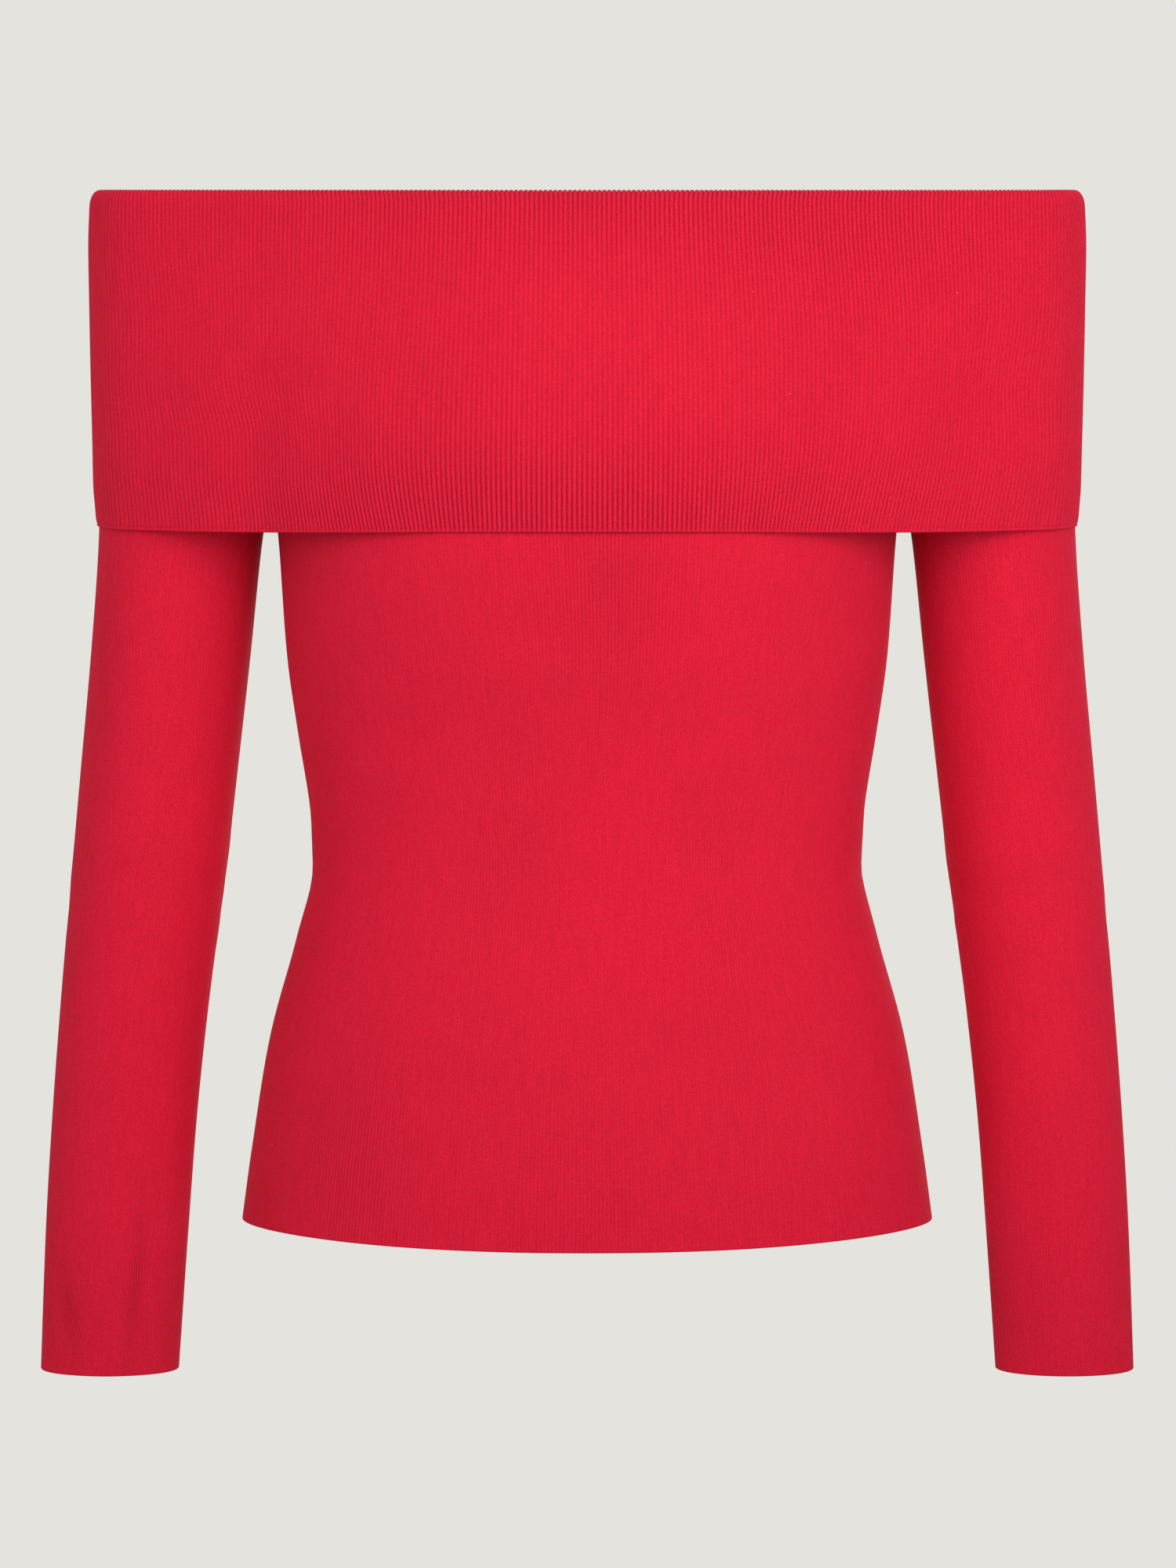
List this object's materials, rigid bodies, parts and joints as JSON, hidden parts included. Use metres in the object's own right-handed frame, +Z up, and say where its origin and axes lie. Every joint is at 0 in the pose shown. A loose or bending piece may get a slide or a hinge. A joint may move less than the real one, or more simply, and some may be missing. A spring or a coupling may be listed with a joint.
{
  "type": "off-shoulder rib-knit top",
  "caption": "Slim long-sleeved off-shoulder top in fine rib knit, with a wide fold-over band round chest and upper arms, in its hollow worn form.",
  "frame": {"origin": "middle of the band's top opening, at the height of its fold over the upper arms, where the wearer's chest and upper arms hold the garment up", "axes": "+Z up along the body, +X to the viewer's right across both sleeves, -Y out of the front"},
  "size_m": [0.4832, 0.234, 0.5288],
  "materials": {
    "body_knit": "matt fine 1x1 rib knit, red",
    "sleeve_knit": "matt fine 1x1 rib knit, red",
    "collar_knit": "matt 1x1 rib knit with clear ribs, red"
  },
  "bodies": {
    "root": {"body_front": "body_knit", "body_back": "body_knit", "sleeve_left": "sleeve_knit", "sleeve_right": "sleeve_knit", "collar_front": "collar_knit", "collar_back": "collar_knit"}
  },
  "joints": []
}
